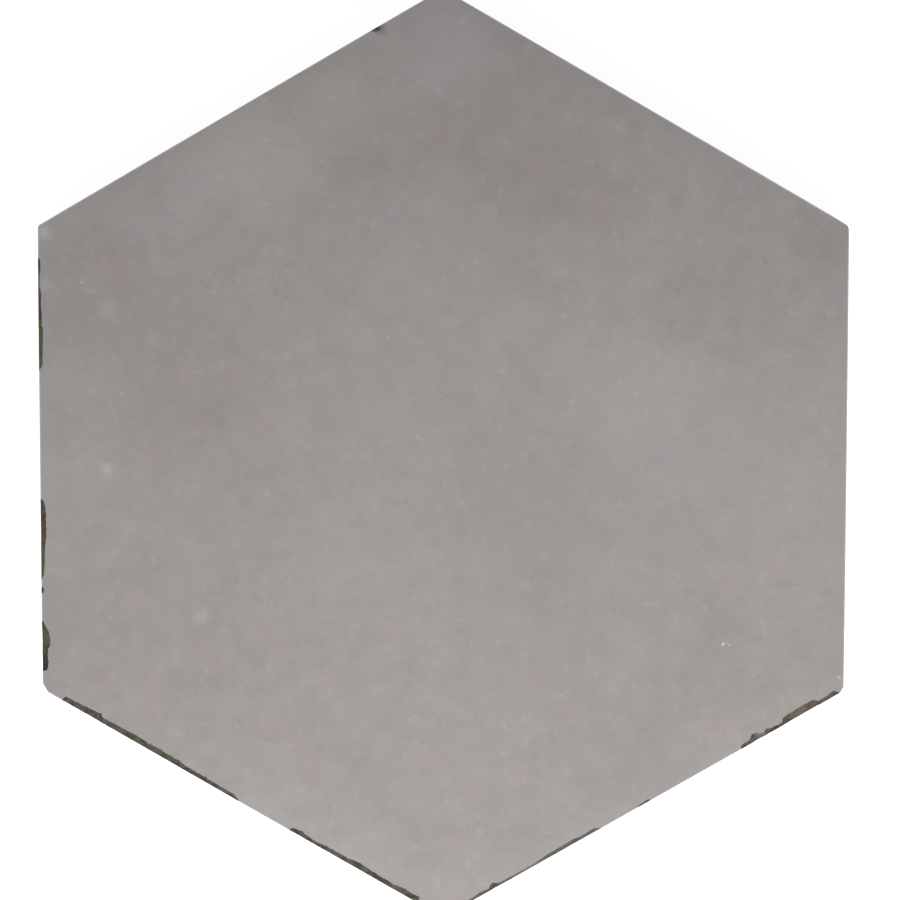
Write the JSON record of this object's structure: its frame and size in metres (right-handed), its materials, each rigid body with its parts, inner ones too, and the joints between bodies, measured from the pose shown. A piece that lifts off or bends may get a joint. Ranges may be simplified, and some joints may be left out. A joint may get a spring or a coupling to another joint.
{
  "type": "hexagon wall tile",
  "caption": "Hexagonal ceramic wall tile: grey satin glaze on an uneven face, chipped arris, drafted edges and a honeycomb key in the back for adhesive.",
  "frame": {"origin": "centre of the back, on the plane that beds on the wall", "axes": "+Z out of the glazed face, +Y towards a corner, +X towards a flat side"},
  "size_m": [0.108, 0.1244, 0.0091],
  "materials": {
    "glaze": "satin warm-grey glaze over brown fired clay, which shows at the chips, edges and back"
  },
  "bodies": {
    "root": {"hexagon_tile": "glaze"}
  },
  "joints": []
}
